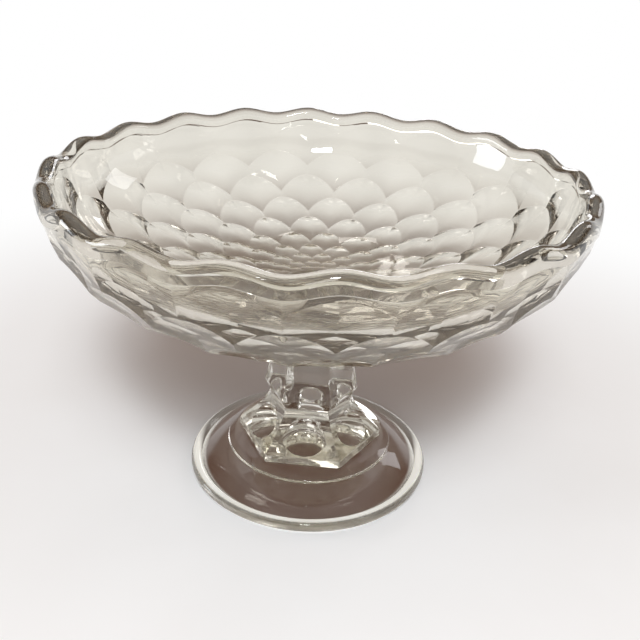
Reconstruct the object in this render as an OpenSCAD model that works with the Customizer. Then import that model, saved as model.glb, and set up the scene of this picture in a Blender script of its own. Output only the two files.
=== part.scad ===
// Footed fruit bowl in clear pressed glass: a scalloped bowl with rows of hollow cells pressed
// into its outside, a joining wafer, a six-sided stem on a plinth, and a round domed foot.
// Millimetres, +Z up. The origin is on the floor, at the middle of the foot.

/* [Bowl] */
// Width across the rim
rim_d = 254; // [236:1:272]
// Depth of the outside, from the flat base to the mean line of the rim
bowl_depth = 67.1; // [60:0.1:74]
// Width of the flat base
base_d = 37; // [34:0.5:42]
// Thickness of the rounded lip
lip_t = 7.8; // [6.5:0.1:8.5]
// Height of the rounding along the top of the lip
lip_round = 4.2; // [3.5:0.1:5]
// Height of the lip outside
lip_h = 7.6; // [6.5:0.1:8.2]
// Height of the lip inside
lip_inner_h = 5.8; // [5.4:0.1:7]
// How far the lip stands out from the wall on each side
lip_proud = 0.4; // [0.2:0.1:0.6]
// Thickness of the floor
floor_t = 11; // [8:0.1:12]
// Rise and fall of the scalloped rim about its mean line
scallop_rise = 1.5; // [0.6:0.1:1.8]
// Scallops round the rim, and cells in each row
scallops = 20; // [16:1:24]
// Depth to which the widest cells are pressed
cell_press = 2.7; // [1.2:0.1:3]

/* [Wafer] */
// Width of the joining wafer
wafer_d = 42; // [40:0.5:46]
// Thickness of the joining wafer
wafer_t = 6; // [5:0.1:8]

/* [Stem] */
// Height of the six-sided column above the undercut
column_h = 43.2; // [36:0.1:50]
// Width across the corners at the column's foot
column_d = 49; // [46:0.5:53]
// Width across the corners at the column's top
column_top_d = 37; // [34:0.5:39]
// Depth to which each side of the column is hollowed
column_scoop = 0.9; // [0.3:0.1:1.5]
// Height of the undercut between the waist and the column
undercut_h = 4.5; // [3:0.1:5.5]
// Width across the corners at the waist
waist_d = 43.6; // [41:0.2:45]
// Height of the flare below the waist
flare_h = 18; // [16:0.1:20]
// Height of the plinth
plinth_h = 6.5; // [5.5:0.1:7.5]
// Width across the corners of the plinth
plinth_d = 76; // [73:0.5:79]
// Size of the slope along the plinth's top edge
plinth_slope = 2.5; // [2:0.1:3]
// Width of the arched panel that is scooped out of each side of the flare
panel_w = 24; // [18:0.5:26]
// Depth of that scoop, in from its mouth
panel_in = 15.5; // [13:0.1:16.5]
// Distance from the axis to the mouth of the scoop
panel_r = 32.5; // [31.5:0.1:34]
// Height of the scoop's deepest line above the plinth
panel_z = 5.5; // [5:0.1:6]
// Reach of the scoop above that line
panel_up = 13; // [10:0.1:13.5]
// Reach of the scoop below that line
panel_down = 7; // [5.5:0.1:7.2]

/* [Foot] */
// Height of the foot
foot_h = 18; // [17.2:0.1:20]
// Width of the foot
foot_d = 127.4; // [122:0.1:134]
// Thickness of the rounded bead along the foot's edge
bead_t = 6; // [5.4:0.1:7]
// Height at which the domed slope meets the bead
slope_low = 4.4; // [3.6:0.1:5]
// Width of the round step in the slope
step_d = 87; // [84:0.1:92]
// Height of the foot of that step
step_z = 15; // [13.5:0.1:15.8]
// Height of that step
step_h = 1.2; // [0.8:0.1:1.3]
// Width of the flat seat under the plinth
seat_d = 80; // [79.5:0.1:82]
// Width of the hollow under the foot
hollow_d = 108; // [102:0.5:110]
// Height of the hollow under the foot
hollow_h = 8; // [6:0.1:9.5]

/* [Hidden] */
$fn = 96;

glass = [0.86, 0.88, 0.85, 0.5];

rim_r = rim_d / 2;
wall_r = rim_r - lip_proud;
wall_t = lip_t - 2 * lip_proud;
base_r = base_d / 2;
foot_r = foot_d / 2;
bead_r = bead_t / 2;

stem_z = foot_h;
flare_z = stem_z + plinth_h;
waist_z = flare_z + flare_h;
column_z = waist_z + undercut_h;
wafer_z = column_z + column_h;
base_z = wafer_z + wafer_t;
rim_z = base_z + bowl_depth;

// Power of the bowl's round curve, which is an ellipse at 2
curve_power = 2.35;
// Lines between the rows of cells, in degrees down the curve from the rim to the flat base
line_turns = [8.4, 22.2, 36.3, 49, 60.6, 69.9, 76.9, 82.1, 85.9, 88.4, 90];
// Swing of each line, in degrees up and down the curve
swing_turns = [2.9, 4, 4.9, 4.4, 3.8, 3, 2.2, 1.6, 1.1, 0.6, 0];
// Shape of the domes along each line, as shares of its swing, and of the arches along the first line
dome_shares = [1, -0.43, -1, -0.43];
arch_shares = [1, -0.65, -1, -0.65];
// Power by which the cells' depth falls with their width
press_power = 0.8;
// Rise of the rim over one scallop, as shares of the rise
scallop_shares = [-1, 0, 1, 0];
// Place of a cell's inner ring between its middle and its edge
cell_ring_share = 0.55;

rows = len(line_turns) - 1;
per_cell = len(dome_shares);
columns = per_cell * scallops;
lip_steps = 6;
inner_steps = 12;
// First turn of the smooth inside, in degrees down its curve below the lip
inner_turn = 9;

// Power of the stem's drawn-in curves, straight at 1
draw_power = 1.5;
sides = 6;
stem_steps = 8;
// Places across an arched panel, and the least reach of those places as a share of half a side
panel_shares = [-1, -0.7, -0.35, 0, 0.35, 0.7, 1];
reach_share = 0.35;

// Point of the bowl's curve as radius and height, drawn in by the wall and raised by the floor
function curve(turn, wall = 0, raise = 0) = [
    base_r + (wall_r - base_r - wall) * pow(cos(turn), 2 / curve_power),
    rim_z - (bowl_depth - raise) * pow(sin(turn), 2 / curve_power)
];

// Direction into the glass, square to the outside of the bowl
function inward(turn) =
    let (across = pow(cos(turn), 2 - 2 / curve_power) / (wall_r - base_r))
    let (down = pow(sin(turn), 2 - 2 / curve_power) / bowl_depth)
    [-across, down] / norm([across, down]);

// Point in space of a radius and height, at one of a number of columns round the axis
function around(point, column, count) =
    let (angle = 360 * column / count)
    [point.x * cos(angle), point.x * sin(angle), point.y];

// Point of the bowl's outside, pressed into the glass
function pressed(turn, column, depth) =
    around(curve(turn) + depth * inward(turn), column, columns);

// Turn of a line between two rows of cells, where it passes a column
function line_turn(line, column) =
    let (step = (column + per_cell / 2 * line) % per_cell)
    line_turns[line] + swing_turns[line] * (line == 0 ? arch_shares : dome_shares)[step];

// Middle column of a cell, which sits half a cell along from the row above
function cell_column(row, cell) = per_cell * cell + per_cell / 2 * (row % 2);

// Turns of the top, the bottom and the middle of a cell
function cell_top(row) = line_turns[row - 1] - swing_turns[row - 1];
function cell_bottom(row) = line_turns[row] + swing_turns[row];
function cell_turn(row) = (cell_top(row) + cell_bottom(row)) / 2;

// Share of a cell's height that its side edges take up
function side_share(row) =
    (line_turns[row] - swing_turns[row] - line_turns[row - 1] - swing_turns[row - 1])
        / (cell_bottom(row) - cell_top(row));

// Depth of a cell's middle, which falls with the cell's width
function cell_depth(row) = cell_press * pow(curve(cell_turn(row)).x / rim_r, press_power);

// Depth of a cell's dish at a turn and a place across it, from -1 to 1; it is nothing at the corners
function dish(row, turn, across) =
    let (up = 2 * (turn - cell_turn(row)) / (cell_bottom(row) - cell_top(row)))
    let (fall = up * up + across * across * (1 - pow(side_share(row), 2)))
    cell_depth(row) * max(0, 1 - fall);

// Depth of a line between two rows, where their dishes meet
function line_depth(line, column) =
    let (turn = line_turn(line, column))
    let (step = (column + per_cell / 2 * line) % per_cell)
    let (above = 2 * (step < per_cell / 2 ? step : step - per_cell) / per_cell)
    let (below = 2 * (step - per_cell / 2) / per_cell)
    line == 0 || line == rows ? 0 : (dish(line, turn, above) + dish(line + 1, turn, below)) / 2;

// Edge of a cell as pairs of a line and a column, clockwise from outside
function cell_edge(row, cell) =
    let (middle = cell_column(row, cell), half = per_cell / 2)
    concat(
        [for (k = [-half : half]) [row - 1, middle + k]],
        [for (k = [-half : half]) [row, middle - k]]
    );

// Point of a cell, between its middle at share 0 and its edge at share 1
function cell_point(row, cell, edge, share) =
    let (column = cell_column(row, cell))
    let (edge_turn = line_turn(edge[0], (edge[1] + columns) % columns))
    let (turn = cell_turn(row) + share * (edge_turn - cell_turn(row)))
    let (across = 2 * share * (edge[1] - column) / per_cell)
    pressed(turn, column + share * (edge[1] - column), dish(row, turn, across));

// Point at the height of the wavy rim, a drop below its top
function rim_point(radius, drop, column) =
    let (rise = scallop_rise * scallop_shares[column % per_cell])
    around([radius, rim_z - drop + rise], column, columns);

// Point of the lip's rounded top, from its outer edge at 0 degrees to its inner edge at 180
function lip_point(angle, column) =
    rim_point(rim_r - lip_t / 2 * (1 - cos(angle)), lip_round * (1 - sin(angle)), column);

// Triangles between two rings of points, the upper first, clockwise from outside
function band(upper, lower, count) = [
    for (c = [0 : count - 1])
        let (next = (c + 1) % count)
        for (face = [
            [upper + c, upper + next, lower + next],
            [upper + c, lower + next, lower + c]
        ]) face
];

// Triangles from a ring to a point below it, and from a ring to a point above it
function cap_below(ring, point, count) = [
    for (c = [0 : count - 1]) [ring + c, ring + (c + 1) % count, point]
];
function cap_above(ring, point, count) = [
    for (c = [0 : count - 1]) [point, ring + (c + 1) % count, ring + c]
];

// Scalloped bowl, smooth inside, with rows of cells pressed into its outside
module bowl() {
    edge_count = 2 * (per_cell + 1);
    cells = rows * scallops;

    line_points = [
        for (line = [0 : rows], c = [0 : columns - 1])
            pressed(line_turn(line, c), c, line_depth(line, c))
    ];
    ring_points = [
        for (row = [1 : rows], cell = [0 : scallops - 1], edge = cell_edge(row, cell))
            cell_point(row, cell, edge, cell_ring_share)
    ];
    middle_points = [
        for (row = [1 : rows], cell = [0 : scallops - 1])
            cell_point(row, cell, cell_edge(row, cell)[0], 0)
    ];
    lip_points = concat(
        [for (c = [0 : columns - 1]) rim_point(wall_r, lip_h + lip_proud, c)],
        [for (c = [0 : columns - 1]) rim_point(rim_r, lip_h, c)],
        [for (k = [0 : lip_steps], c = [0 : columns - 1]) lip_point(180 * k / lip_steps, c)],
        [for (c = [0 : columns - 1]) rim_point(rim_r - lip_t, lip_inner_h, c)],
        [for (c = [0 : columns - 1]) rim_point(wall_r - wall_t, lip_inner_h + lip_proud, c)]
    );
    inner_points = [
        for (k = [0 : inner_steps - 1], c = [0 : columns - 1])
            let (turn = inner_turn + (90 - inner_turn) * k / (inner_steps - 1))
            around(curve(turn, wall_t, floor_t), c, columns)
    ];

    lip_rings = len(lip_points) / columns;
    ring_at = len(line_points);
    middle_at = ring_at + len(ring_points);
    lip_at = middle_at + len(middle_points);
    inner_at = lip_at + len(lip_points);
    base_at = inner_at + len(inner_points);
    floor_at = base_at + 1;

    cell_faces = [
        for (n = [0 : cells - 1])
            let (row = 1 + floor(n / scallops))
            let (edge = cell_edge(row, n % scallops), ring = ring_at + n * edge_count)
            for (k = [0 : edge_count - 1])
                let (next = (k + 1) % edge_count)
                let (a = edge[k][0] * columns + (edge[k][1] + columns) % columns)
                let (b = edge[next][0] * columns + (edge[next][1] + columns) % columns)
                for (face = [
                    [a, b, ring + next],
                    [a, ring + next, ring + k],
                    [ring + k, ring + next, middle_at + n]
                ]) face
    ];
    lip_faces = [
        for (k = [1 : lip_rings - 1])
            for (face = band(lip_at + k * columns, lip_at + (k - 1) * columns, columns)) face
    ];
    inner_faces = [
        for (k = [0 : inner_steps - 1])
            for (face = band(inner_at + k * columns, inner_at + (k - 1) * columns, columns)) face
    ];

    color(glass)
        polyhedron(
            points = concat(
                line_points, ring_points, middle_points, lip_points, inner_points,
                [[0, 0, base_z], [0, 0, base_z + floor_t]]
            ),
            faces = concat(
                cell_faces,
                band(lip_at, 0, columns),
                lip_faces,
                inner_faces,
                cap_above(base_at - columns, floor_at, columns),
                cap_below(rows * columns, base_at, columns)
            )
        );
}

// Round-edged wafer of glass that joins the bowl to the stem
module wafer() {
    color(glass)
        translate([0, 0, wafer_z])
            rotate_extrude() {
                square([wafer_d / 2 - wafer_t / 2, wafer_t]);
                intersection() {
                    translate([wafer_d / 2 - wafer_t / 2, wafer_t / 2]) circle(d = wafer_t);
                    square([wafer_d / 2, wafer_t]);
                }
            }
}

// Width drawn in along a curve from the wide end at share 0 to the narrow end at share 1
function drawn_in(wide, narrow, share) = narrow + (wide - narrow) * pow(1 - share, draw_power);

// Place of a height within the scoop of a panel, from -1 at its low end to 1 at its high end
function panel_up_share(z) =
    let (above = z - flare_z - panel_z)
    above / (above > 0 ? panel_up : panel_down);

// Half the width that a panel has on a flat side at a height
function panel_reach(z, flat_r) =
    let (in_share = max(0, panel_r - flat_r) / panel_in)
    panel_w / 2 * sqrt(max(0, 1 - pow(panel_up_share(z), 2) - pow(in_share, 2)));

// Distance from the axis to the scooped surface of a panel
function panel_floor(z, across) =
    panel_r - panel_in * sqrt(max(0, 1 - pow(panel_up_share(z), 2) - pow(2 * across / panel_w, 2)));

// Point of one side of the stem, hollowed along its whole width and scooped by its panel
function side_point(side, width, z, across, hollow) =
    let (angle = 360 * (side + 1 / 2) / sides)
    let (flat_r = width / 2 * cos(180 / sides), half = width / 2 * sin(180 / sides))
    let (hollowed_r = flat_r - hollow * (1 - pow(across / half, 2)))
    let (inside = abs(across) < panel_reach(z, flat_r))
    let (radius = inside ? min(hollowed_r, panel_floor(z, across)) : hollowed_r)
    [radius * cos(angle) - across * sin(angle), radius * sin(angle) + across * cos(angle), z];

// Ring of a six-sided section
function stem_ring(width, z, hollow = 0) =
    let (flat_r = width / 2 * cos(180 / sides), half = width / 2 * sin(180 / sides))
    let (reach = max(panel_reach(z, flat_r), reach_share * half))
    [
        for (side = [0 : sides - 1])
            for (across = concat([-half], reach * panel_shares))
                side_point(side, width, z, across, hollow)
    ];

// Six-sided stem: a plinth, a flare with arched panels up to the waist, and a tapering column
module stem() {
    shares = [for (k = [0 : stem_steps]) k / stem_steps];
    flare_d = plinth_d - 2 * plinth_slope;
    rings = concat(
        [
            stem_ring(plinth_d, stem_z),
            stem_ring(plinth_d, flare_z - plinth_slope),
            stem_ring(plinth_d - plinth_slope, flare_z - plinth_slope / 2)
        ],
        [for (s = shares) stem_ring(drawn_in(flare_d, waist_d, s), flare_z + flare_h * s)],
        [
            for (s = shares)
                stem_ring(
                    drawn_in(column_d, column_top_d, s), column_z + column_h * s, column_scoop
                )
        ]
    );
    points = [for (ring = rings, point = ring) point];
    count = len(rings[0]);
    top = len(points) - count;
    faces = concat(
        [for (k = [1 : len(rings) - 1], face = band(k * count, (k - 1) * count, count)) face],
        cap_below(0, len(points), count),
        cap_above(top, len(points) + 1, count)
    );

    color(glass)
        polyhedron(points = concat(points, [[0, 0, stem_z], [0, 0, wafer_z]]), faces = faces);
}

// Round foot: a domed slope with a beaded edge, a round step, a flat seat and a hollow below
module foot() {
    hollow_r = (hollow_d * hollow_d / 4 + hollow_h * hollow_h) / (2 * hollow_h);

    color(glass)
        rotate_extrude()
            difference() {
                union() {
                    polygon([
                        [0, 0],
                        [foot_r - bead_r, 0],
                        [foot_r - bead_r, slope_low],
                        [foot_r - bead_t, slope_low],
                        [step_d / 2, step_z],
                        [step_d / 2, step_z + step_h],
                        [seat_d / 2, foot_h],
                        [0, foot_h]
                    ]);
                    translate([foot_r - bead_r, bead_r]) circle(d = bead_t);
                }
                intersection() {
                    translate([0, hollow_h - hollow_r]) circle(r = hollow_r);
                    square([hollow_d / 2, hollow_h]);
                }
            }
}

bowl();
wafer();
stem();
foot();
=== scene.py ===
"""Footed fruit bowl in clear pressed glass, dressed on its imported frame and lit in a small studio."""

import logging
import math
from dataclasses import dataclass, field
from enum import Enum
from typing import Any, Callable, Sequence

import bmesh
import bpy
from mathutils import Matrix, Vector


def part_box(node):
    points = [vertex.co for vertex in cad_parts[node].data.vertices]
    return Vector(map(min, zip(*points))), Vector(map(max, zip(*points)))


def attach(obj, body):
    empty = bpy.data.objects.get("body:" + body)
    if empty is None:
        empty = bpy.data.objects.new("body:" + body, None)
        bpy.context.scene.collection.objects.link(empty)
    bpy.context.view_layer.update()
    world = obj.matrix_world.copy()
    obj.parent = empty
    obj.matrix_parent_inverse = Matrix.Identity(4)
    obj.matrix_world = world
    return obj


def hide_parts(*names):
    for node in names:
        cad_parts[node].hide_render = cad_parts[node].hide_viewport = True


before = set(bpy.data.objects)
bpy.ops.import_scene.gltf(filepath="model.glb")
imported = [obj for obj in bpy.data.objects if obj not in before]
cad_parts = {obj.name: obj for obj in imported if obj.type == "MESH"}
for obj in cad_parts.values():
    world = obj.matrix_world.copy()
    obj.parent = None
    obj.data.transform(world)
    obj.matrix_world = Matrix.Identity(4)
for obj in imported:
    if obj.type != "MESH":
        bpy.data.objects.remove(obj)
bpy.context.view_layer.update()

log = logging.getLogger("fruit_bowl")

MM = 0.001
AXIS = Vector((0.0, 0.0, 1.0))
# Pieces that are melted together reach this far into each other, so that no air gap shows
MELT = 0.2 * MM
# Faces that meet at a wider angle than this keep a crisp edge between them
CREASE = math.radians(32.0)
# Steps and radii that differ by less than this are the same
NEARLY = 1e-6
# Points closer than this, in metres, are merged
MERGE = 1e-7


class Field(Enum):
    """Values that an outline's points carry through the spin, one vertex layer each."""

    LINE = "line"
    WAVE = "wave"


@dataclass(frozen=True)
class OutlinePoint:
    """A point of an outline that is spun about the axis.

    Attributes:
        radius: distance from the axis in metres.
        height: height above the floor in metres.
        soften: setback of the rounded corner in metres, or 0 for none.
        line: place among the lines between the rows of cells, or -1 off the cells.
        wave: share of the rim's rise and fall that the point takes.
    """

    radius: float
    height: float
    soften: float = 0.0
    line: float = -1.0
    wave: float = 0.0


def linear_rgb(code: str) -> tuple[float, float, float, float]:
    """Turns an sRGB hex colour into linear values.

    Args:
        code: colour such as "#d8d2c4".

    Returns:
        Linear red, green, blue and an alpha of 1.
    """
    parts = [int(code[k:k + 2], 16) / 255 for k in (1, 3, 5)]
    red, green, blue = [c / 12.92 if c <= 0.04045 else ((c + 0.055) / 1.055) ** 2.4 for c in parts]
    return red, green, blue, 1.0


def add_node(
    tree: bpy.types.NodeTree, kind: str, links: dict[str, Any] | None = None, **settings: Any
) -> bpy.types.Node:
    """Adds a node, sets its values and links its inputs.

    Args:
        tree: node tree that takes the node.
        kind: Blender's name of the node type.
        links: input name to the output socket that feeds it.
        **settings: node properties, or input values under their names with _ for each space.

    Returns:
        The new node.
    """
    node = tree.nodes.new(kind)
    for name, value in settings.items():
        socket = next((s for s in node.inputs if s.name == name.replace("_", " ") and s.enabled), None)
        if hasattr(node, name):
            setattr(node, name, value)
        elif socket is not None:
            socket.default_value = value
        else:
            raise KeyError(f"{kind} has no {name}")
    for name, output in (links or {}).items():
        tree.links.new(output, next(s for s in node.inputs if s.name == name and s.enabled))
    return node


def combine(
    tree: bpy.types.NodeTree, operation: str, first: bpy.types.NodeSocket, second: bpy.types.NodeSocket
) -> bpy.types.NodeSocket:
    """Adds a node that works out one value from two.

    Args:
        tree: node tree that takes the node.
        operation: Blender's name of the operation.
        first: socket of the first value.
        second: socket of the second value.

    Returns:
        Socket of the result.
    """
    node = add_node(tree, "ShaderNodeMath", {"Value": first}, operation=operation)
    tree.links.new(second, node.inputs[1])
    return node.outputs["Value"]


def mix_shaders(
    tree: bpy.types.NodeTree, share: bpy.types.NodeSocket, first: bpy.types.Node, second: bpy.types.Node
) -> bpy.types.NodeSocket:
    """Adds a node that mixes two shaders.

    Args:
        tree: node tree that takes the node.
        share: socket of the second shader's share.
        first: shader that shows where the share is 0.
        second: shader that shows where the share is 1.

    Returns:
        Socket of the mixed shader.
    """
    node = add_node(tree, "ShaderNodeMixShader", {"Fac": share})
    tree.links.new(first.outputs[0], node.inputs[1])
    tree.links.new(second.outputs[0], node.inputs[2])
    return node.outputs["Shader"]


def seen_rays(tree: bpy.types.NodeTree) -> bpy.types.NodeSocket:
    """Tells the rays that show a thing, straight or in the glass, from the rays that only light.

    Args:
        tree: node tree that takes the nodes.

    Returns:
        Socket that is 1 for camera, glossy and transmission rays, and 0 for the others.
    """
    rays = add_node(tree, "ShaderNodeLightPath").outputs
    straight = combine(tree, "MAXIMUM", rays["Is Camera Ray"], rays["Is Glossy Ray"])
    return combine(tree, "MAXIMUM", straight, rays["Is Transmission Ray"])


def paint_ramp(node: bpy.types.Node, stops: Sequence[tuple[float, str]]) -> None:
    """Gives a colour ramp its stops.

    Args:
        node: the colour ramp.
        stops: place and sRGB colour of each stop, in order.
    """
    elements = node.color_ramp.elements
    while len(elements) < len(stops):
        elements.new(1.0)
    for element, (place, code) in zip(elements, stops):
        element.position = place
        element.color = linear_rgb(code)


@dataclass(frozen=True)
class PressedGlass:
    """Clear soda-lime glass that was pressed hot in an iron mould and fire polished.

    Attributes:
        name: name of the material.
        skin: sRGB colours that the surface lets through, between which the cords of the melt shift.
        tint: sRGB colour that the glass lets through in depth.
        density: strength of that colour, per metre.
        ripple: size of the mould's slow ripples in metres.
        ripple_depth: height of those ripples in metres.
        chill: size of the fine chill marks in metres.
        chill_depth: height of the chill marks in metres.
        polish: roughness where the fire polish is best.
        haze: roughness where handling has dulled it.
        haze_range: values of the patches between which the polish gives way to the haze.
        patch_ripples: size of those patches, in ripples.
        cord_ripples: width of the cords of the melt, in ripples.
        worn_height: height up to which standing has scuffed it, or 0 for none.
        scuff: roughness that the heaviest scuffs add.
        scratch: size of the scuffs in metres.
        refraction: refractive index of soda-lime glass.
    """

    name: str
    skin: tuple[str, str] = ("#f9f8f3", "#f3f1ea")
    tint: str = "#d6d4d1"
    density: float = 14.0
    ripple: float = 14.0 * MM
    ripple_depth: float = 0.05 * MM
    chill: float = 2.2 * MM
    chill_depth: float = 0.0015 * MM
    polish: float = 0.004
    haze: float = 0.03
    haze_range: tuple[float, float] = (0.45, 0.8)
    patch_ripples: float = 3.0
    cord_ripples: float = 9.0
    worn_height: float = 0.0
    scuff: float = 0.35
    scratch: float = 0.8 * MM
    refraction: float = 1.52

    def material(self) -> bpy.types.Material:
        """Builds the node material.

        Returns:
            The finished material.
        """
        material = bpy.data.materials.new(self.name)
        material.use_nodes = True
        tree = material.node_tree
        tree.nodes.clear()
        place = add_node(tree, "ShaderNodeTexCoord").outputs["Object"]

        # Slow ripples of the mould wall and fine chill marks of the first touch of cold iron
        ripple = add_node(
            tree, "ShaderNodeTexNoise", {"Vector": place}, Scale=1 / self.ripple, Detail=2.0, Roughness=0.45
        )
        chill = add_node(
            tree, "ShaderNodeTexNoise", {"Vector": place}, Scale=1 / self.chill, Detail=3.0, Roughness=0.6
        )
        slow = add_node(
            tree,
            "ShaderNodeBump",
            {"Height": ripple.outputs["Fac"]},
            Strength=1.0,
            Distance=self.ripple_depth,
        )
        fine = add_node(
            tree,
            "ShaderNodeBump",
            {"Height": chill.outputs["Fac"], "Normal": slow.outputs["Normal"]},
            Strength=1.0,
            Distance=self.chill_depth,
        )

        # Handling haze gathers in soft patches; the rest keeps its fire polish
        patch = self.patch_ripples * self.ripple
        patches = add_node(tree, "ShaderNodeTexNoise", {"Vector": place}, Scale=1 / patch, Detail=4.0)
        rough = add_node(
            tree,
            "ShaderNodeMapRange",
            {"Value": patches.outputs["Fac"]},
            From_Min=self.haze_range[0],
            From_Max=self.haze_range[1],
            To_Min=self.polish,
            To_Max=self.haze,
        ).outputs["Result"]
        if self.worn_height > 0:
            rough = self.scuffed(tree, place, rough)

        # Faint cords of uneven melt shift the colour a little
        cord = self.cord_ripples * self.ripple
        cords = add_node(
            tree, "ShaderNodeTexWave", {"Vector": place}, Scale=1 / cord, Distortion=6.0, Detail=2.0
        )
        skin = add_node(tree, "ShaderNodeValToRGB", {"Fac": cords.outputs["Fac"]})
        paint_ramp(skin, ((0.0, self.skin[0]), (1.0, self.skin[1])))

        glass = add_node(
            tree,
            "ShaderNodeBsdfPrincipled",
            {"Base Color": skin.outputs["Color"], "Roughness": rough, "Normal": fine.outputs["Normal"]},
            IOR=self.refraction,
            Transmission_Weight=1.0,
        )
        depth = add_node(
            tree, "ShaderNodeVolumeAbsorption", Color=linear_rgb(self.tint), Density=self.density
        )
        add_node(
            tree,
            "ShaderNodeOutputMaterial",
            {"Surface": glass.outputs["BSDF"], "Volume": depth.outputs["Volume"]},
        )
        return material

    def scuffed(
        self, tree: bpy.types.NodeTree, place: bpy.types.NodeSocket, rough: bpy.types.NodeSocket
    ) -> bpy.types.NodeSocket:
        """Adds the fine scuffs of a base that has stood long on hard tops.

        Args:
            tree: node tree of the material.
            place: socket of the object's coordinates.
            rough: socket of the roughness so far.

        Returns:
            Socket of the roughness with the scuffs.
        """
        height = add_node(tree, "ShaderNodeSeparateXYZ", {"Vector": place}).outputs["Z"]
        low = add_node(
            tree,
            "ShaderNodeMapRange",
            {"Value": height},
            From_Min=self.worn_height,
            From_Max=0.0,
            To_Min=0.0,
            To_Max=self.scuff,
        ).outputs["Result"]
        scratches = add_node(
            tree, "ShaderNodeTexNoise", {"Vector": place}, Scale=1 / self.scratch, Detail=5.0, Roughness=0.7
        )
        return combine(tree, "ADD", rough, combine(tree, "MULTIPLY", low, scratches.outputs["Fac"]))


def spin_outline(points: Sequence[OutlinePoint], steps: int, soften_segments: int = 4) -> bmesh.types.BMesh:
    """Spins an open outline, which starts and ends on the axis, into a closed shape.

    Args:
        points: the outline in order.
        steps: number of steps round the axis.
        soften_segments: segments of each rounded corner.

    Returns:
        The spun mesh, with its normals outwards.
    """
    mesh = bmesh.new()
    layers = {kind: mesh.verts.layers.float.new(kind.value) for kind in Field}
    chain = []
    for point in points:
        vert = mesh.verts.new((point.radius, 0.0, point.height))
        vert[layers[Field.LINE]] = point.line
        vert[layers[Field.WAVE]] = point.wave
        chain.append(vert)
    for pair in zip(chain, chain[1:]):
        mesh.edges.new(pair)
    for vert, point in zip(chain, points):
        if point.soften > 0:
            bmesh.ops.bevel(
                mesh,
                geom=[vert],
                offset=point.soften,
                offset_type="OFFSET",
                segments=soften_segments,
                profile=0.5,
                affect="VERTICES",
                material=-1,
            )
    bmesh.ops.spin(
        mesh,
        geom=mesh.verts[:] + mesh.edges[:],
        cent=(0.0, 0.0, 0.0),
        axis=AXIS,
        angle=math.tau,
        steps=steps,
        use_merge=True,
    )
    bmesh.ops.remove_doubles(mesh, verts=mesh.verts[:], dist=MERGE)
    bmesh.ops.recalc_face_normals(mesh, faces=mesh.faces[:])
    return mesh


def move_points(mesh: bmesh.types.BMesh, place: Callable[[bmesh.types.BMVert], Vector]) -> None:
    """Moves every point of a mesh to the place that a rule gives it.

    Args:
        mesh: mesh to shape.
        place: rule from a point to its new position.
    """
    moves = [(vert, place(vert)) for vert in mesh.verts]
    for vert, position in moves:
        vert.co = position
    mesh.normal_update()


def polar(radius: float, angle: float, height: float) -> Vector:
    """Gives the point at a radius, an angle round the axis and a height."""
    return Vector((radius * math.cos(angle), radius * math.sin(angle), height))


def finish_piece(
    mesh: bmesh.types.BMesh, name: str, glass: PressedGlass, node: str
) -> bpy.types.Object:
    """Turns a mesh into a smooth glass piece that stands for a node of the frame.

    Args:
        mesh: the shaped mesh, which is freed.
        name: name of the piece.
        glass: finish of the piece.
        node: node that the piece stands for.

    Returns:
        The new object.
    """
    data = bpy.data.meshes.new(name)
    for face in mesh.faces:
        face.smooth = True
    for edge in mesh.edges:
        edge.smooth = edge.calc_face_angle(0.0) < CREASE
    mesh.to_mesh(data)
    mesh.free()
    piece = bpy.data.objects.new(name, data)
    bpy.context.scene.collection.objects.link(piece)
    data.materials.append(glass.material())
    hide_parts(node)
    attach(piece, "root")
    log.info("%s: %d faces", name, len(data.polygons))
    return piece


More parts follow.
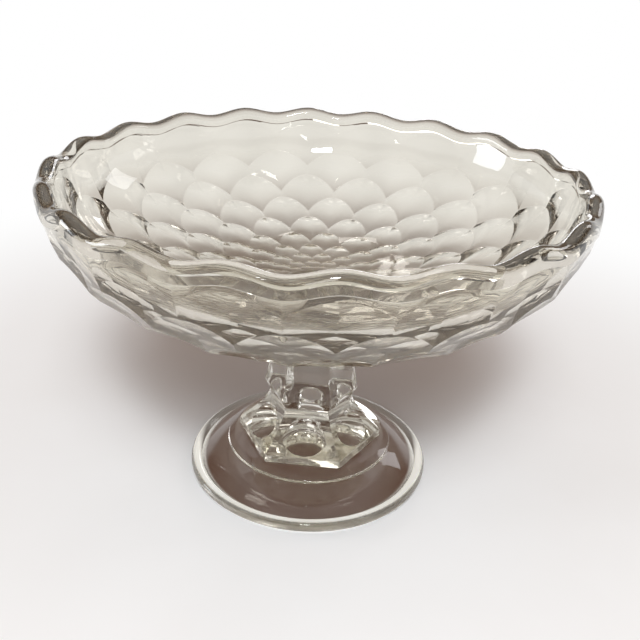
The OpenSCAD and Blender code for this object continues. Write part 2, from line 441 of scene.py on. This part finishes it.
@dataclass
class ScallopedBowl:
    """The bowl: smooth inside, with a wavy rounded lip and rows of hollow cells outside.

    Attributes:
        rim_radius: outer radius of the lip.
        base_radius: radius of the flat base.
        base_height: height of the flat base.
        crest_height: height of the rim's crests.
        lip: thickness of the rounded lip.
        lip_round: height of the rounding along the top of the lip.
        lip_outside: height of the lip outside.
        lip_inside: height of the lip inside.
        proud: how far the lip stands out from the wall on each side.
        floor: thickness of the floor.
        rise: rise and fall of the rim about its mean line.
        scallops: scallops round the rim, and cells in each row.
        press: depth of the widest cells.
        press_power: power by which the cells' depth falls with their width.
        curve_power: power of the round curve, an ellipse at 2.
        line_turns: lines between the rows of cells, in degrees down the curve.
        swing_turns: swing of each line, in degrees.
        dome_power: power of the domes along each line, straight at 1.
        inside_turn: degrees down the curve at which the inside starts below the lip.
        inside_wave: share of the rim's wave that the inside takes there.
        wave_fade: how fast that wave dies away down the inside.
        half_cell_steps: mesh steps across half a cell.
        row_steps: mesh steps down a row.
        lip_steps: mesh steps over the lip.
        inside_steps: mesh steps down the inside.
    """

    rim_radius: float = field(default_factory=lambda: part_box("bowl")[1][0])
    base_radius: float = 18.5 * MM
    base_height: float = field(default_factory=lambda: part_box("bowl")[0][2])
    crest_height: float = field(default_factory=lambda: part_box("bowl")[1][2])
    lip: float = 7.8 * MM
    lip_round: float = 4.2 * MM
    lip_outside: float = 7.6 * MM
    lip_inside: float = 5.8 * MM
    proud: float = 0.4 * MM
    floor: float = 11.0 * MM
    rise: float = 1.5 * MM
    scallops: int = 20
    press: float = 2.7 * MM
    press_power: float = 0.8
    curve_power: float = 2.35
    line_turns: tuple[float, ...] = (8.4, 22.2, 36.3, 49.0, 60.6, 69.9, 76.9, 82.1, 85.9, 88.4, 90.0)
    swing_turns: tuple[float, ...] = (2.9, 4.0, 4.9, 4.4, 3.8, 3.0, 2.2, 1.6, 1.1, 0.6, 0.0)
    dome_power: float = 1.8
    inside_turn: float = 9.0
    inside_wave: float = 0.6
    wave_fade: float = 6.0
    half_cell_steps: int = 10
    row_steps: int = 10
    lip_steps: int = 16
    inside_steps: int = 36

    @property
    def rim_height(self) -> float:
        """Height of the mean line of the rim."""
        return self.crest_height - self.rise

    @property
    def depth(self) -> float:
        """Depth of the outside below the mean line of the rim."""
        return self.rim_height - self.base_height

    @property
    def span(self) -> float:
        """Distance from the edge of the flat base out to the wall at the rim."""
        return self.rim_radius - self.proud - self.base_radius

    @property
    def rows(self) -> int:
        """Number of rows of cells."""
        return len(self.line_turns) - 1

    def curve(self, turn: float, wall: float = 0.0, floor: float = 0.0) -> tuple[float, float]:
        """Gives a point of the bowl's curve.

        Args:
            turn: degrees down the curve from the rim.
            wall: how far the curve is drawn in at the rim.
            floor: how far it is raised at the base.

        Returns:
            Radius and height.
        """
        across = max(math.cos(math.radians(turn)), 0.0) ** (2 / self.curve_power)
        down = math.sin(math.radians(turn)) ** (2 / self.curve_power)
        return self.base_radius + (self.span - wall) * across, self.rim_height - (self.depth - floor) * down

    def inward(self, turn: float) -> tuple[float, float]:
        """Gives the direction into the glass, square to the outside.

        Args:
            turn: degrees down the curve from the rim.

        Returns:
            Share along the radius and share upwards.
        """
        power = 2 - 2 / self.curve_power
        across = max(math.cos(math.radians(turn)), 0.0) ** power / self.span
        down = math.sin(math.radians(turn)) ** power / self.depth
        size = math.hypot(across, down)
        return -across / size, down / size

    def cell(self, row: int) -> tuple[float, float, float]:
        """Gives the size of the cells of a row.

        Args:
            row: number of the row, 0 at the rim.

        Returns:
            Turn of the middle, half the height in degrees, and the share that the side edges take.
        """
        top = self.line_turns[row] - self.swing_turns[row]
        bottom = self.line_turns[row + 1] + self.swing_turns[row + 1]
        side = bottom - top - 2 * (self.swing_turns[row] + self.swing_turns[row + 1])
        return (top + bottom) / 2, (bottom - top) / 2, side / (bottom - top)

    def across(self, row: int, phase: float) -> float:
        """Gives the place across a cell, from -1 to 1, of a place round the rim in cells."""
        return 2 * ((phase + row / 2) % 1.0) - 1

    def line_turn(self, line: int, phase: float) -> float:
        """Gives the turn of a line between rows where it passes a place round the rim.

        Args:
            line: number of the line, 0 at the rim, where it is a row of arches.
            phase: place round the rim in cells.

        Returns:
            Turn in degrees.
        """
        across = abs(self.across(line, phase))
        if line == 0:
            middle, half, side = self.cell(0)
            return middle - half * math.sqrt(1 - across * across * (1 - side * side))
        return self.line_turns[line] + self.swing_turns[line] * (2 * across ** self.dome_power - 1)

    def dish(self, row: int, turn: float, phase: float) -> float:
        """Gives the depth of a cell's dish, which comes to nothing at the cell's corners.

        Args:
            row: number of the row.
            turn: degrees down the curve from the rim.
            phase: place round the rim in cells.

        Returns:
            Depth in metres.
        """
        middle, half, side = self.cell(row)
        across = self.across(row, phase)
        fall = ((turn - middle) / half) ** 2 + across * across * (1 - side * side)
        deepest = self.press * (self.curve(middle)[0] / self.rim_radius) ** self.press_power
        return deepest * max(0.0, 1 - fall)

    def line_depth(self, line: int, phase: float) -> float:
        """Gives the depth of a line between rows, where the dishes above and below it meet.

        Args:
            line: number of the line, 0 at the rim.
            phase: place round the rim in cells.

        Returns:
            Depth in metres.
        """
        if line in (0, self.rows):
            return 0.0
        turn = self.line_turn(line, phase)
        return (self.dish(line - 1, turn, phase) + self.dish(line, turn, phase)) / 2

    def outline(self) -> list[OutlinePoint]:
        """Lays out the bowl's outline from the base over the lip to the inside of the floor.

        Returns:
            The outline's points.
        """
        lines = [
            row + 0.5 - 0.5 * math.cos(math.pi * step / self.row_steps)
            for row in range(self.rows)
            for step in range(self.row_steps)
        ] + [float(self.rows)]
        outside = [OutlinePoint(*self.curve(self.mean_turn(line)), line=line) for line in reversed(lines)]
        wall = self.lip - 2 * self.proud
        middle = self.rim_radius - self.lip / 2
        turned = self.rim_height - self.lip_round
        arc = [
            OutlinePoint(
                middle + self.lip / 2 * math.cos(angle), turned + self.lip_round * math.sin(angle), wave=1.0
            )
            for angle in (math.pi * step / self.lip_steps for step in range(self.lip_steps + 1))
        ]
        low = self.rim_height - self.lip_outside
        outer = [
            OutlinePoint(self.rim_radius - self.proud, low - self.proud, wave=1.0),
            OutlinePoint(self.rim_radius, low, wave=1.0),
        ]
        low = self.rim_height - self.lip_inside
        inner = [
            OutlinePoint(self.rim_radius - self.lip, low, wave=1.0),
            OutlinePoint(self.rim_radius - self.lip + self.proud, low - self.proud, wave=1.0),
        ]
        inside = []
        for step in range(self.inside_steps + 1):
            share = step / self.inside_steps
            turn = self.inside_turn + (self.line_turns[-1] - self.inside_turn) * share
            wave = self.inside_wave * max(0.0, 1 - self.wave_fade * share) ** 2
            inside.append(OutlinePoint(*self.curve(turn, wall, self.floor), wave=wave))
        base = [OutlinePoint(0.0, self.base_height)]
        floor = [OutlinePoint(0.0, self.base_height + self.floor)]
        return base + outside + outer + arc + inner + inside + floor

    def mean_turn(self, line: float) -> float:
        """Gives the turn, without swing, of a place among the lines."""
        row = min(int(line), self.rows - 1)
        return self.line_turns[row] + (line - row) * (self.line_turns[row + 1] - self.line_turns[row])

    def pressed_point(self, line: float, angle: float) -> Vector:
        """Gives the place of a point on the pressed outside.

        Args:
            line: place among the lines between the rows.
            angle: angle round the axis.

        Returns:
            Position in metres.
        """
        row = min(int(line), self.rows - 1)
        share = line - row
        phase = angle / math.tau * self.scallops
        upper, lower = self.line_turn(row, phase), self.line_turn(row + 1, phase)
        turn = upper + share * (lower - upper)
        above = self.line_depth(row, phase) - self.dish(row, upper, phase)
        below = self.line_depth(row + 1, phase) - self.dish(row, lower, phase)
        depth = self.dish(row, turn, phase) + (1 - share) * above + share * below
        radius, height = self.curve(turn)
        sink, lift = self.inward(turn)
        return polar(radius + depth * sink, angle, height + depth * lift)

    def mesh(self) -> bmesh.types.BMesh:
        """Spins the outline, presses the cells and waves the rim.

        Returns:
            The shaped mesh.
        """
        half_cells = 2 * self.scallops
        mesh = spin_outline(self.outline(), half_cells * self.half_cell_steps)
        line_layer = mesh.verts.layers.float[Field.LINE.value]
        wave_layer = mesh.verts.layers.float[Field.WAVE.value]

        def place(vert: bmesh.types.BMVert) -> Vector:
            """Gives a spun point its place on the finished bowl.

            Args:
                vert: the spun point.

            Returns:
                Position in metres.
            """
            radius = math.hypot(vert.co.x, vert.co.y)
            turns = (math.atan2(vert.co.y, vert.co.x) / math.tau % 1.0) * half_cells
            gathered = math.floor(turns + NEARLY)
            share = min(max(turns - gathered, 0.0), 1.0)
            angle = (gathered + 0.5 - 0.5 * math.cos(math.pi * share)) / half_cells * math.tau
            if vert[line_layer] >= 0:
                return self.pressed_point(vert[line_layer], angle)
            rise = -self.rise * math.cos(self.scallops * angle) * vert[wave_layer]
            return polar(radius, angle, vert.co.z + rise)

        move_points(mesh, place)
        return mesh

    def build(self, glass: PressedGlass) -> bpy.types.Object:
        """Builds the bowl as a piece."""
        return finish_piece(self.mesh(), "scalloped_bowl", glass, "bowl")


@dataclass
class JoiningWafer:
    """The button of hot glass that joins the bowl to the stem.

    Attributes:
        radius: radius of the wafer.
        low: height of its underside.
        high: height of its top.
        round_share: share of half its thickness by which its edge is rounded.
        round_steps: mesh steps of each rounding.
        steps: mesh steps round the axis.
    """

    radius: float = field(default_factory=lambda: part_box("wafer")[1][0])
    low: float = field(default_factory=lambda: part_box("wafer")[0][2])
    high: float = field(default_factory=lambda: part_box("wafer")[1][2])
    round_share: float = 0.98
    round_steps: int = 10
    steps: int = 128

    def build(self, glass: PressedGlass) -> bpy.types.Object:
        """Builds the wafer as a piece with a full round edge.

        Args:
            glass: finish of the wafer.

        Returns:
            The new object.
        """
        low, high = self.low - MELT, self.high + MELT
        rounding = (high - low) / 2 * self.round_share
        outline = [
            OutlinePoint(0.0, low),
            OutlinePoint(self.radius, low, soften=rounding),
            OutlinePoint(self.radius, high, soften=rounding),
            OutlinePoint(0.0, high),
        ]
        mesh = spin_outline(outline, self.steps, self.round_steps)
        return finish_piece(mesh, "joining_wafer", glass, "wafer")


@dataclass
class SixSidedStem:
    """The stem: a six-sided plinth, a flare with scooped arched panels, a waist and a tapering column.

    Attributes:
        low: height of the plinth's underside.
        high: height of the column's top.
        plinth_radius: corner radius of the plinth.
        plinth: height of the plinth.
        slope: size of the slope along the plinth's top edge.
        flare: height of the flare.
        waist_radius: corner radius at the waist.
        undercut: height of the undercut between the waist and the column.
        column_radius: corner radius at the column's foot.
        column_top_radius: corner radius at the column's top.
        column_scoop: depth of each side of the column.
        panel_half: half the width of an arched panel's scoop.
        panel_in: depth of the scoop, in from its mouth.
        panel_radius: distance from the axis to the mouth of the scoop.
        panel_height: height of the scoop's deepest line above the plinth.
        panel_up: reach of the scoop above that line.
        panel_down: reach of the scoop below that line.
        draw_power: power of the drawn-in curves, straight at 1.
        plinth_round: rounding of the plinth's upper edge.
        column_round: rounding of the edge at the column's foot.
        slope_shares: mesh lines up the plinth's slope, as shares of it.
        sides: number of sides.
        side_steps: mesh steps across a side.
        curve_steps: mesh steps up a drawn-in curve.
        panel_share: share of a side's mesh steps that lie in its panel.
        reach_share: share of a side's half width that those steps span where the panel is narrower.
    """

    low: float = field(default_factory=lambda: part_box("stem")[0][2])
    high: float = field(default_factory=lambda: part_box("stem")[1][2])
    plinth_radius: float = field(default_factory=lambda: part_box("stem")[1][0])
    plinth: float = 6.5 * MM
    slope: float = 2.5 * MM
    flare: float = 18.0 * MM
    waist_radius: float = 21.8 * MM
    undercut: float = 4.5 * MM
    column_radius: float = 24.5 * MM
    column_top_radius: float = 18.5 * MM
    column_scoop: float = 0.9 * MM
    panel_half: float = 12.0 * MM
    panel_in: float = 15.5 * MM
    panel_radius: float = 32.5 * MM
    panel_height: float = 5.5 * MM
    panel_up: float = 13.0 * MM
    panel_down: float = 7.0 * MM
    draw_power: float = 1.5
    plinth_round: float = 0.4 * MM
    column_round: float = 0.5 * MM
    slope_shares: tuple[float, ...] = (0.3, 0.45, 0.6, 0.75, 0.9)
    sides: int = 6
    side_steps: int = 40
    curve_steps: int = 40
    panel_share: float = 0.7
    reach_share: float = 0.35

    @property
    def flare_low(self) -> float:
        """Height of the foot of the flare."""
        return self.low + self.plinth

    @property
    def column_low(self) -> float:
        """Height of the column's foot."""
        return self.flare_low + self.flare + self.undercut

    def drawn(self, wide: float, narrow: float, share: float) -> float:
        """Gives the radius a share of the way along a drawn-in curve."""
        return narrow + (wide - narrow) * (1 - share) ** self.draw_power

    def outline(self) -> list[OutlinePoint]:
        """Lays out the corner line of the stem from the plinth to the column's top.

        Returns:
            The outline's points.
        """
        low, high = self.low - MELT, self.high + MELT
        shares = [step / self.curve_steps for step in range(self.curve_steps + 1)]
        flare_radius = self.plinth_radius - self.slope
        flare = [
            OutlinePoint(
                self.drawn(flare_radius, self.waist_radius, share), self.flare_low + self.flare * share
            )
            for share in shares
        ]
        column = [
            OutlinePoint(
                self.drawn(self.column_radius, self.column_top_radius, share),
                self.column_low + (high - self.column_low) * share,
                soften=self.column_round if share == 0 else 0.0,
            )
            for share in shares[::2]
        ]
        plinth = [
            OutlinePoint(0.0, low),
            OutlinePoint(self.plinth_radius, low),
            OutlinePoint(self.plinth_radius, self.flare_low - self.slope, soften=self.plinth_round),
        ]
        bevel = [
            OutlinePoint(self.plinth_radius - self.slope * share, self.flare_low - self.slope * (1 - share))
            for share in self.slope_shares
        ]
        return plinth + bevel + flare + column + [OutlinePoint(0.0, high)]

    def panel_rise(self, height: float) -> float:
        """Gives the place of a height in a panel, from -1 at its low end to 1 at its high end."""
        above = height - self.flare_low - self.panel_height
        return above / (self.panel_up if above > 0 else self.panel_down)

    def side_place(self, corner: float, height: float, place: float) -> tuple[float, float]:
        """Gives the point of a side, hollowed along the column and scooped by the panel on the flare.

        Args:
            corner: radius at the corners.
            height: height above the floor.
            place: place across the side, from -1 at one corner to 1 at the next.

        Returns:
            Distance from the axis along the middle of the side, and distance across from that middle.
        """
        flat = corner * math.cos(math.pi / self.sides)
        half = corner * math.sin(math.pi / self.sides)
        rise = self.panel_rise(height)
        mouth = max(0.0, self.panel_radius - flat) / self.panel_in
        open_share = max(0.0, 1 - rise * rise - mouth * mouth)
        panel = self.panel_half * math.sqrt(open_share)
        reach = max(panel, self.reach_share * half)
        if abs(place) <= self.panel_share:
            across = reach * place / self.panel_share
        else:
            beyond = (abs(place) - self.panel_share) / (1 - self.panel_share)
            across = math.copysign(reach + (half - reach) * beyond, place)
        up = min(max((height - self.flare_low - self.flare) / self.undercut, 0.0), 1.0)
        out = flat - up * self.column_scoop * (1 - (across / half) ** 2)
        if abs(across) < panel:
            inside = max(0.0, 1 - rise * rise - (across / self.panel_half) ** 2)
            out = min(out, self.panel_radius - self.panel_in * math.sqrt(inside))
        return out, across

    def mesh(self) -> bmesh.types.BMesh:
        """Spins the corner line and flattens it to six hollowed sides.

        Returns:
            The shaped mesh.
        """
        mesh = spin_outline(self.outline(), self.sides * self.side_steps)
        sector = math.tau / self.sides

        def place(vert: bmesh.types.BMVert) -> Vector:
            """Gives a spun point its place on a flat or hollowed side.

            Args:
                vert: the spun point.

            Returns:
                Position in metres.
            """
            corner = math.hypot(vert.co.x, vert.co.y)
            if corner < NEARLY:
                return vert.co.copy()
            turns = math.atan2(vert.co.y, vert.co.x) / sector
            side = math.floor(turns + NEARLY)
            out, across = self.side_place(corner, vert.co.z, 2 * min(max(turns - side, 0.0), 1.0) - 1)
            return Matrix.Rotation((side + 0.5) * sector, 3, "Z") @ Vector((out, across, vert.co.z))

        move_points(mesh, place)
        return mesh

    def build(self, glass: PressedGlass) -> bpy.types.Object:
        """Builds the stem as a piece."""
        return finish_piece(self.mesh(), "six_sided_stem", glass, "stem")


@dataclass
class DomedFoot:
    """The round foot: a domed slope with a beaded edge, a round step, a flat seat and a hollow below.

    Attributes:
        radius: radius of the foot.
        height: height of the foot.
        bead: thickness of the rounded bead along the edge.
        slope_low: height at which the slope meets the bead.
        bulge: how far the slope is domed.
        step_radius: radius of the round step in the slope.
        step_low: height of the foot of that step.
        step: height of that step.
        seat_radius: radius of the flat seat under the plinth.
        hollow_radius: radius of the hollow.
        hollow: height of the hollow.
        rest_round: rounding of the edge between the hollow and the rest ring.
        step_low_round: rounding in the corner at the foot of the step.
        step_round: rounding of the step's upper edge.
        seat_round: rounding of the seat's edge.
        round_steps: mesh steps of each rounding.
        steps: mesh steps round the axis.
        curve_steps: mesh steps along the hollow, the bead and the slope.
    """

    radius: float = field(default_factory=lambda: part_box("foot")[1][0])
    height: float = field(default_factory=lambda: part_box("foot")[1][2])
    bead: float = 6.0 * MM
    slope_low: float = 4.4 * MM
    bulge: float = 0.7 * MM
    step_radius: float = 43.5 * MM
    step_low: float = 15.0 * MM
    step: float = 1.2 * MM
    seat_radius: float = 40.0 * MM
    hollow_radius: float = 54.0 * MM
    hollow: float = 8.0 * MM
    rest_round: float = 0.4 * MM
    step_low_round: float = 0.3 * MM
    step_round: float = 0.5 * MM
    seat_round: float = 0.6 * MM
    round_steps: int = 6
    steps: int = 256
    curve_steps: int = 24

    def outline(self) -> list[OutlinePoint]:
        """Lays out the foot's outline from the middle of the hollow to the middle of its top.

        Returns:
            The outline's points.
        """
        shares = [step / self.curve_steps for step in range(self.curve_steps + 1)]
        sweep = (self.hollow_radius ** 2 + self.hollow ** 2) / (2 * self.hollow)
        widest = math.asin(self.hollow_radius / sweep)
        hollow = [
            OutlinePoint(sweep * math.sin(angle), self.hollow - sweep * (1 - math.cos(angle)))
            for angle in (widest * share for share in shares[:-1])
        ]
        half = self.bead / 2
        meet = math.pi - math.asin((self.slope_low - half) / half)
        bead = [
            OutlinePoint(self.radius - half + half * math.cos(angle), half + half * math.sin(angle))
            for angle in (-math.pi / 2 + (meet + math.pi / 2) * share for share in shares)
        ]
        crease = bead[-1]
        slope = [
            OutlinePoint(
                crease.radius + (self.step_radius - crease.radius) * share,
                crease.height
                + (self.step_low - crease.height) * share
                + 4 * self.bulge * share * (1 - share),
            )
            for share in shares[1:-1]
        ]
        top = [
            OutlinePoint(self.step_radius, self.step_low, soften=self.step_low_round),
            OutlinePoint(self.step_radius, self.step_low + self.step, soften=self.step_round),
            OutlinePoint(self.seat_radius, self.height, soften=self.seat_round),
            OutlinePoint(0.0, self.height),
        ]
        rest = [OutlinePoint(self.hollow_radius, 0.0, soften=self.rest_round)]
        return hollow + rest + bead + slope + top

    def build(self, glass: PressedGlass) -> bpy.types.Object:
        """Builds the foot as a piece."""
        mesh = spin_outline(self.outline(), self.steps, self.round_steps)
        return finish_piece(mesh, "domed_foot", glass, "foot")


@dataclass(frozen=True)
class PaleFloor:
    """Matt, pale studio board, which fades into plain white away from the bowl, with painted light under the
    foot.

    Attributes:
        colour: sRGB colour of the board.
        mottle: sRGB colour of its faint mottling.
        grain: size of the mottling in metres.
        white: sRGB colour that it fades into.
        near: distance from the axis at which the fading starts, in metres.
        far: distance at which it ends.
        painted_glow: place out from the axis, as a share of the reach, and colour of the painted light under
            the foot, brown in the middle and pale under the bead, which stands in for the light that the
            glass of the foot would let through to the board.
        painted_glow_reach: reach of that painted light in metres.
        dullness: roughness of the board.
    """

    colour: str = "#fbfaf8"
    mottle: str = "#f7f5f2"
    grain: float = 60.0 * MM
    white: str = "#ffffff"
    near: float = 140.0 * MM
    far: float = 480.0 * MM
    painted_glow: tuple[tuple[float, str], ...] = (
        (0.0, "#5b4339"),
        (0.84, "#5b4339"),
        (0.88, "#f2f1ef"),
        (0.985, "#f2f1ef"),
        (1.0, "#000000"),
    )
    painted_glow_reach: float = 62.5 * MM
    dullness: float = 0.9

    def material(self) -> bpy.types.Material:
        """Builds the node material.

        Returns:
            The finished material.
        """
        material = bpy.data.materials.new("matt_studio_board")
        material.use_nodes = True
        tree = material.node_tree
        tree.nodes.clear()
        place = add_node(tree, "ShaderNodeTexCoord").outputs["Object"]
        noise = add_node(tree, "ShaderNodeTexNoise", {"Vector": place}, Scale=1 / self.grain, Detail=4.0)
        mottled = add_node(tree, "ShaderNodeValToRGB", {"Fac": noise.outputs["Fac"]})
        paint_ramp(mottled, ((0.0, self.mottle), (1.0, self.colour)))
        away = add_node(tree, "ShaderNodeVectorMath", {"Vector": place}, operation="LENGTH").outputs["Value"]
        # Painted light: under the foot the board glows, brown in the middle and pale under the bead, in
        # place of the light that would come through the foot's glass, since refractive caustics are off
        under = add_node(tree, "ShaderNodeMapRange", {"Value": away}, From_Max=self.painted_glow_reach)
        painted_glow = add_node(tree, "ShaderNodeValToRGB", {"Fac": under.outputs["Result"]})
        paint_ramp(painted_glow, self.painted_glow)
        board = add_node(
            tree,
            "ShaderNodeBsdfPrincipled",
            {"Base Color": mottled.outputs["Color"], "Emission Color": painted_glow.outputs["Color"]},
            Roughness=self.dullness,
            Emission_Strength=1.0,
        )
        white = add_node(tree, "ShaderNodeEmission", Color=linear_rgb(self.white), Strength=1.0)
        fade = add_node(
            tree,
            "ShaderNodeMapRange",
            {"Value": away, "To Max": seen_rays(tree)},
            interpolation_type="SMOOTHSTEP",
            From_Min=self.near,
            From_Max=self.far,
        )
        surface = mix_shaders(tree, fade.outputs["Result"], board, white)
        add_node(tree, "ShaderNodeOutputMaterial", {"Surface": surface})
        return material


@dataclass(frozen=True)
class SoftLamp:
    """A soft box lamp that looks at the bowl.

    Attributes:
        name: name of the lamp.
        place: its position in metres.
        width: its width in metres.
        height: its height in metres.
        watts: its power.
        colour: sRGB colour of its light.
        mirrored: whether it shows on and in the glass.
    """

    name: str
    place: tuple[float, float, float]
    width: float
    height: float
    watts: float
    colour: str = "#ffffff"
    mirrored: bool = True

    def build(self, aim: Vector) -> None:
        """Adds the lamp, turned to look at a point.

        Args:
            aim: point that the lamp looks at.
        """
        data = bpy.data.lights.new(self.name, "AREA")
        data.shape = "RECTANGLE"
        data.size = self.width
        data.size_y = self.height
        data.energy = self.watts
        data.color = linear_rgb(self.colour)[:3]
        lamp = bpy.data.objects.new(self.name, data)
        lamp.visible_glossy = self.mirrored
        lamp.visible_transmission = self.mirrored
        lamp.location = self.place
        lamp.rotation_euler = (aim - Vector(self.place)).to_track_quat("-Z", "Y").to_euler()
        bpy.context.scene.collection.objects.link(lamp)


@dataclass
class Studio:
    """Floor, lamps, surroundings and camera.

    Attributes:
        azimuth: degrees that the camera stands round from the front, towards +X.
        elevation: degrees that it stands above the horizon.
        distance: distance from the camera to its aim.
        aim_right: how far the aim lies to the right of the axis.
        aim_height: height of the aim.
        roll: degrees by which the picture is turned.
        lens: focal length in mm.
        sensor: width of the camera's sensor in mm.
        clip_near: distance from the camera at which the picture starts.
        floor_half: half the width of the floor.
        floor_gap: how far the floor lies below the foot, so that the faces don't coincide.
        bright_side: direction of the bright side of the room.
        room: place from the dark side at 0 to the bright side at 1, and colour of the room there.
        fill: colour of the room's light on the floor.
        lamps: the lamps.
        bounces: bounces that the light makes in the glass.
        glossy_bounces: bounces that it makes between polished faces.
    """

    azimuth: float = 4.5
    elevation: float = 26.63
    distance: float = 407.75 * MM
    aim_right: float = 3.09 * MM
    aim_height: float = 84.43 * MM
    roll: float = 2.7
    lens: float = 45.17
    sensor: float = 36.0
    clip_near: float = 10.0 * MM
    floor_half: float = 4.0
    floor_gap: float = 0.3 * MM
    bright_side: tuple[float, float, float] = (0.0, 0.1, 0.99)
    room: tuple[tuple[float, str], ...] = (
        (0.6, "#ffffff"),
        (0.65, "#6e5a4f"),
        (0.72, "#7d6c61"),
        (0.8, "#d4cec5"),
        (0.86, "#fbfaf8"),
    )
    fill: str = "#826e62"
    lamps: tuple[SoftLamp, ...] = (
        SoftLamp("key", (0.09, -1.05, 1.2), 0.6, 0.6, 17.0, "#f4faff", mirrored=False),
        SoftLamp("front_window", (0.09, -0.98, 1.12), 0.2, 0.2, 6.0, "#f4faff"),
        SoftLamp("left_window", (-1.0, 0.0, 0.25), 0.2, 0.35, 1.4, "#f2f8ff"),
        SoftLamp("back_window", (0.13, 1.3, 0.45), 0.4, 0.3, 1.7, "#fbfcff"),
        SoftLamp("side_window", (1.0, 0.9, 0.7), 0.3, 0.45, 1.3, "#fbfcff"),
    )
    bounces: int = 32
    glossy_bounces: int = 12

    def floor(self) -> None:
        """Lays the pale floor."""
        mesh = bmesh.new()
        bmesh.ops.create_grid(mesh, x_segments=1, y_segments=1, size=self.floor_half)
        bmesh.ops.translate(mesh, verts=mesh.verts[:], vec=-AXIS * self.floor_gap)
        data = bpy.data.meshes.new("studio_floor")
        mesh.to_mesh(data)
        mesh.free()
        board = bpy.data.objects.new("studio_floor", data)
        bpy.context.scene.collection.objects.link(board)
        data.materials.append(PaleFloor().material())

    def surroundings(self) -> None:
        """Sets the room: a white backdrop all round, a warm darker wall above it and a bright ceiling."""
        world = bpy.data.worlds.new("studio_surroundings")
        bpy.context.scene.world = world
        world.use_nodes = True
        tree = world.node_tree
        tree.nodes.clear()
        direction = add_node(tree, "ShaderNodeTexCoord").outputs["Generated"]
        along = add_node(tree, "ShaderNodeVectorMath", {"Vector": direction}, operation="DOT_PRODUCT")
        along.inputs[1].default_value = self.bright_side
        share = add_node(
            tree, "ShaderNodeMapRange", {"Value": along.outputs["Value"]}, From_Min=-1.0, From_Max=1.0
        )
        ramp = add_node(tree, "ShaderNodeValToRGB", {"Fac": share.outputs["Result"]})
        paint_ramp(ramp, self.room)
        room = add_node(tree, "ShaderNodeBackground", {"Color": ramp.outputs["Color"]}, Strength=1.0)
        fill = add_node(tree, "ShaderNodeBackground", Color=linear_rgb(self.fill), Strength=1.0)
        surface = mix_shaders(tree, seen_rays(tree), fill, room)
        add_node(tree, "ShaderNodeOutputWorld", {"Surface": surface})

    def camera(self) -> None:
        """Places the camera where the photograph was taken from."""
        azimuth, elevation, roll = (math.radians(v) for v in (self.azimuth, self.elevation, self.roll))
        right = Vector((math.cos(azimuth), math.sin(azimuth), 0.0))
        back = Vector((
            math.sin(azimuth) * math.cos(elevation),
            -math.cos(azimuth) * math.cos(elevation),
            math.sin(elevation),
        ))
        up = back.cross(right)
        turned_right = right * math.cos(roll) + up * math.sin(roll)
        turned_up = up * math.cos(roll) - right * math.sin(roll)
        place = right * self.aim_right + AXIS * self.aim_height + back * self.distance
        data = bpy.data.cameras.new("photo_camera")
        data.sensor_width = self.sensor
        data.sensor_fit = "HORIZONTAL"
        data.lens = self.lens
        data.clip_start = self.clip_near
        camera = bpy.data.objects.new("photo_camera", data)
        turn = Matrix((turned_right, turned_up, back)).transposed()
        camera.matrix_world = Matrix.Translation(place) @ turn.to_4x4()
        bpy.context.scene.collection.objects.link(camera)
        bpy.context.scene.camera = camera

    def build(self) -> None:
        """Builds the whole studio."""
        self.camera()
        self.floor()
        self.surroundings()
        aim = AXIS * self.aim_height
        for lamp in self.lamps:
            lamp.build(aim)
        scene = bpy.context.scene
        scene.view_settings.view_transform = "Standard"
        scene.cycles.caustics_refractive = False
        scene.cycles.max_bounces = self.bounces
        scene.cycles.transmission_bounces = self.bounces
        scene.cycles.glossy_bounces = self.glossy_bounces


def main() -> None:
    """Builds the studio and the pieces in order."""
    logging.basicConfig(level=logging.INFO, format="%(name)s: %(message)s")
    Studio().build()
    # Painted shade: the bowl's glass has a darker, warmer skin and tint than the stem and foot, which stands
    # in for the warm room seen through the bowl
    ScallopedBowl().build(
        PressedGlass("pressed_bowl_glass", skin=("#ebe8df", "#e5e2d9"), tint="#cdc4b6", density=15.0)
    )
    JoiningWafer().build(PressedGlass("melted_wafer_glass", ripple=8.0 * MM))
    SixSidedStem().build(PressedGlass("pressed_stem_glass", ripple=9.0 * MM))
    DomedFoot().build(PressedGlass("pressed_foot_glass", worn_height=1.5 * MM))


if __name__ == "__main__":
    main()
